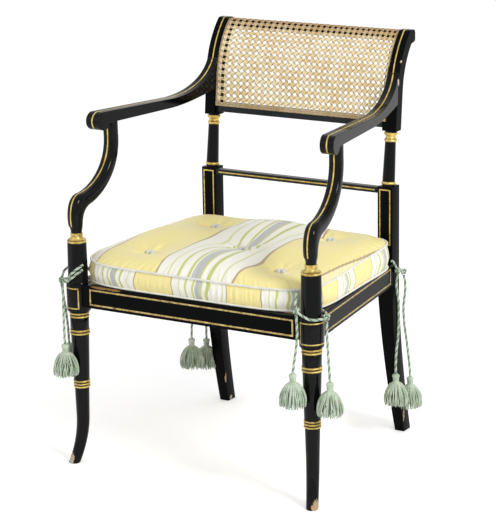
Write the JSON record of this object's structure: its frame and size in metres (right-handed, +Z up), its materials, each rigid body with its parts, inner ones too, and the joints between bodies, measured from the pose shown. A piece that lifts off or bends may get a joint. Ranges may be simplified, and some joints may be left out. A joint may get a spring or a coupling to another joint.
{
  "type": "armchair",
  "caption": "Ebonised and part-gilt open armchair with a scroll-over caned back, turned front legs on sabre feet and a striped silk squab cushion tied on with tasselled cords.",
  "frame": {"origin": "on the floor, under the middle of the wooden frame's bounding box", "axes": "+Z up, -Y the way the chair faces, +X to the sitter's left"},
  "size_m": [0.6595, 0.5734, 0.855],
  "materials": {
    "lacquer": "ebonised and polished",
    "gilt": "gold leaf on the turned rings, the capital and the lines, a little rubbed",
    "beech": "bare beech",
    "cane": "woven cane, clear varnished",
    "silk": "striped silk in yellow, cream, green, grey and brown",
    "piping": "pale blue-grey piping and tuft thread",
    "sage": "twisted sage-green cord and yarn",
    "steel": "wood screws"
  },
  "bodies": {
    "root": {"front_leg_left": "lacquer", "front_leg_right": "lacquer", "rear_stile_left": "lacquer", "rear_stile_right": "lacquer", "seat_front_rail": "lacquer", "seat_rear_rail": "lacquer", "seat_side_rail_left": "lacquer", "seat_side_rail_right": "lacquer", "corner_blocks": "beech", "corner_screws": "steel", "seat_cane_panel": "cane", "back_mid_rail": "lacquer", "back_lower_rail": "lacquer", "crest_rail": "lacquer", "back_cane_panel": "cane", "arm_left": "lacquer", "arm_right": "lacquer", "arm_support_left": "lacquer", "arm_support_right": "lacquer", "arm_dowels": "beech", "seat_cushion": "silk", "cushion_piping": "piping", "cushion_tufts": "piping", "tie_front_left": "sage", "tie_front_right": "sage", "tie_rear_left": "sage", "tie_rear_right": "sage", "tie_end_front_left_a": "sage", "tie_end_front_left_b": "sage", "tie_end_front_right_a": "sage", "tie_end_front_right_b": "sage", "tie_end_rear_left_a": "sage", "tie_end_rear_left_b": "sage", "tie_end_rear_right_a": "sage", "tie_end_rear_right_b": "sage", "tassel_front_left_a": "sage", "tassel_front_left_b": "sage", "tassel_front_right_a": "sage", "tassel_front_right_b": "sage", "tassel_rear_left_a": "sage", "tassel_rear_left_b": "sage", "tassel_rear_right_a": "sage", "tassel_rear_right_b": "sage"}
  },
  "joints": []
}
